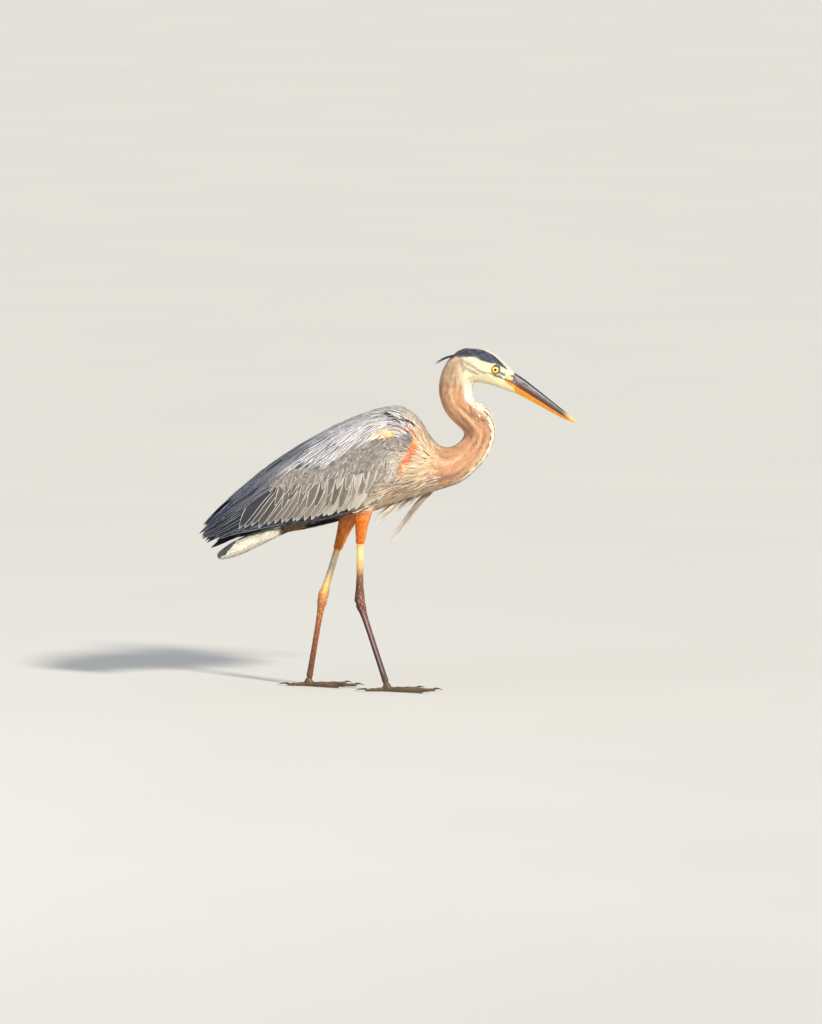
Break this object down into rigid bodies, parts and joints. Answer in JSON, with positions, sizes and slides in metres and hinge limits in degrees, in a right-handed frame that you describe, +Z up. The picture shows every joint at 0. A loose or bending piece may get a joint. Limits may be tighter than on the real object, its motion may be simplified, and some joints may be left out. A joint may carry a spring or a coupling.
{
  "type": "heron",
  "caption": "Life-size great blue heron standing in mid-step with its neck in an S, as a still model.",
  "frame": {"origin": "on the floor, under the middle of the bird's box, close to the bird's middle plane", "axes": "+X the way the bill points, +Y towards the bird's left side, +Z up"},
  "size_m": [0.718, 0.1884, 0.6515],
  "materials": {
    "slate_plumage": "matt",
    "taupe_plumage": "matt",
    "white_plumage": "matt",
    "rufous_plumage": "matt",
    "black_plumage": "matt",
    "bill_horn": "satin",
    "claw_horn": "satin",
    "leg_scales": "satin",
    "eye": "gloss"
  },
  "bodies": {
    "root": {"head": "white_plumage", "breast_plume_1": "white_plumage", "breast_plume_2": "white_plumage", "breast_plume_3": "white_plumage", "breast_plume_4": "white_plumage", "breast_plume_5": "white_plumage", "neck_upper": "taupe_plumage", "neck_middle": "taupe_plumage", "neck_lower": "taupe_plumage", "trunk": "slate_plumage", "wing_right": "slate_plumage", "wing_left": "slate_plumage", "tail": "slate_plumage", "crest_plume_right": "black_plumage", "crest_plume_left": "black_plumage", "thigh_right": "rufous_plumage", "thigh_left": "rufous_plumage", "bill_upper": "bill_horn", "bill_lower": "bill_horn", "eye_right": "eye", "eye_left": "eye", "shank_right": "leg_scales", "tarsus_right": "leg_scales", "foot_right": "leg_scales", "claw_right_middle": "claw_horn", "claw_right_inner": "claw_horn", "claw_right_outer": "claw_horn", "claw_right_hind": "claw_horn", "shank_left": "leg_scales", "tarsus_left": "leg_scales", "foot_left": "leg_scales", "claw_left_middle": "claw_horn", "claw_left_inner": "claw_horn", "claw_left_outer": "claw_horn", "claw_left_hind": "claw_horn"}
  },
  "joints": []
}
